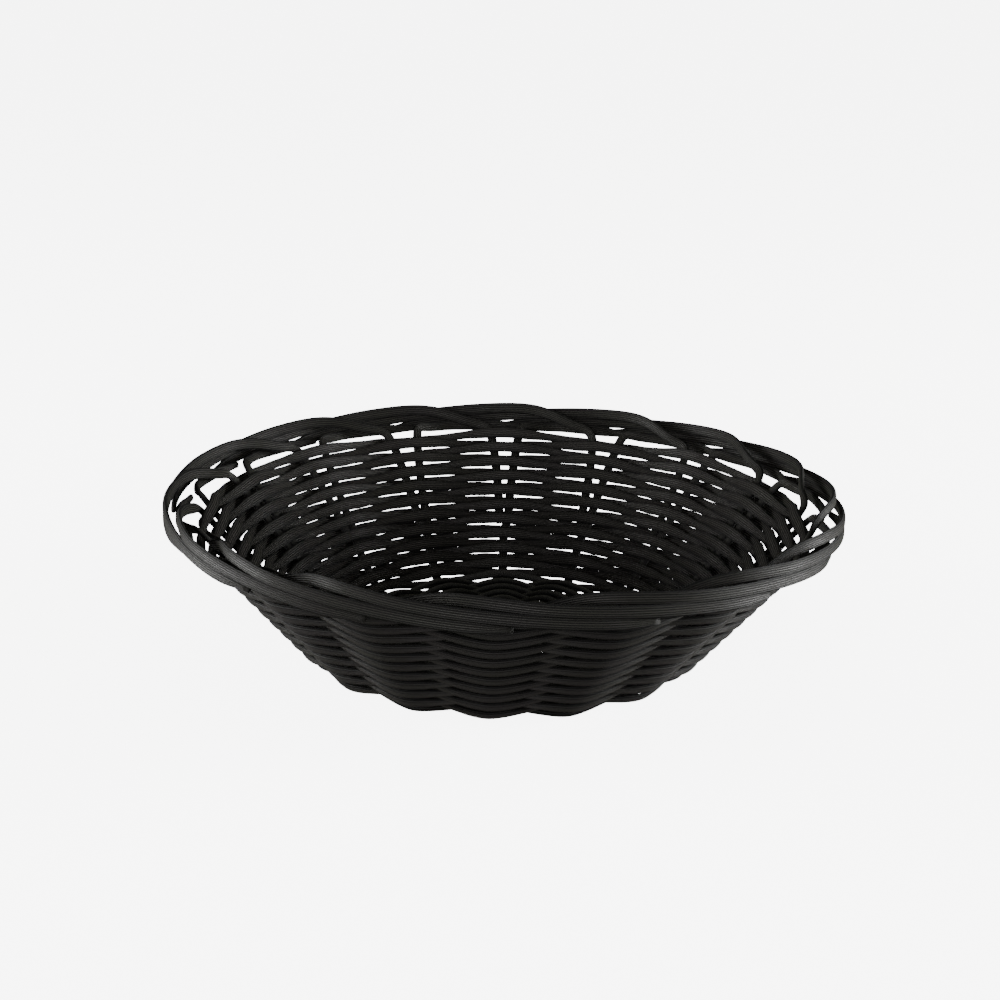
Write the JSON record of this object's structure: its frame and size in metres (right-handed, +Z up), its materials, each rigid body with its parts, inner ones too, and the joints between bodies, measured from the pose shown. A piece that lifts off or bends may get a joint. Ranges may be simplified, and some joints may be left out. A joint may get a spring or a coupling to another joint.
{
  "type": "woven fruit basket",
  "caption": "Round shallow bowl-shaped basket woven from flat plastic strand, with flared sides and an open interlaced border, for fruit or bread.",
  "frame": {"origin": "middle of the basket's footprint, on the surface it stands on", "axes": "+Z up out of the open mouth; X and Y lie in the surface it stands on"},
  "size_m": [0.2498, 0.2498, 0.0642],
  "materials": {
    "stake_strand": "satin extruded plastic with fine lengthwise ribs, near black with an olive cast",
    "base_strand": "satin extruded plastic with fine lengthwise ribs, near black with an olive cast",
    "wall_strand": "satin extruded plastic with fine lengthwise ribs, near black with an olive cast"
  },
  "bodies": {
    "root": {"through_strand_01": "stake_strand", "through_strand_02": "stake_strand", "through_strand_03": "stake_strand", "through_strand_04": "stake_strand", "through_strand_05": "stake_strand", "through_strand_06": "stake_strand", "through_strand_07": "stake_strand", "through_strand_08": "stake_strand", "side_stake_01": "stake_strand", "side_stake_02": "stake_strand", "side_stake_03": "stake_strand", "side_stake_04": "stake_strand", "side_stake_05": "stake_strand", "side_stake_06": "stake_strand", "side_stake_07": "stake_strand", "side_stake_08": "stake_strand", "side_stake_09": "stake_strand", "side_stake_10": "stake_strand", "side_stake_11": "stake_strand", "side_stake_12": "stake_strand", "side_stake_13": "stake_strand", "side_stake_14": "stake_strand", "side_stake_15": "stake_strand", "side_stake_16": "stake_strand", "base_weaver_01": "base_strand", "base_weaver_02": "base_strand", "base_weaver_03": "base_strand", "base_weaver_04": "base_strand", "base_weaver_05": "base_strand", "base_weaver_06": "base_strand", "base_weaver_07": "base_strand", "base_weaver_08": "base_strand", "base_weaver_09": "base_strand", "base_weaver_10": "base_strand", "base_weaver_11": "base_strand", "base_weaver_12": "base_strand", "base_weaver_13": "base_strand", "side_weaver_01": "wall_strand", "side_weaver_02": "wall_strand", "side_weaver_03": "wall_strand", "side_weaver_04": "wall_strand", "side_weaver_05": "wall_strand", "side_weaver_06": "wall_strand", "side_weaver_07": "wall_strand", "side_weaver_08": "wall_strand", "side_weaver_09": "wall_strand", "side_weaver_10": "wall_strand", "side_weaver_11": "wall_strand", "side_weaver_12": "wall_strand", "side_weaver_13": "wall_strand", "side_weaver_14": "wall_strand", "side_weaver_15": "wall_strand", "side_weaver_16": "wall_strand", "side_weaver_17": "wall_strand", "side_weaver_18": "wall_strand", "side_weaver_19": "wall_strand", "side_weaver_20": "wall_strand", "side_weaver_21": "wall_strand"}
  },
  "joints": []
}
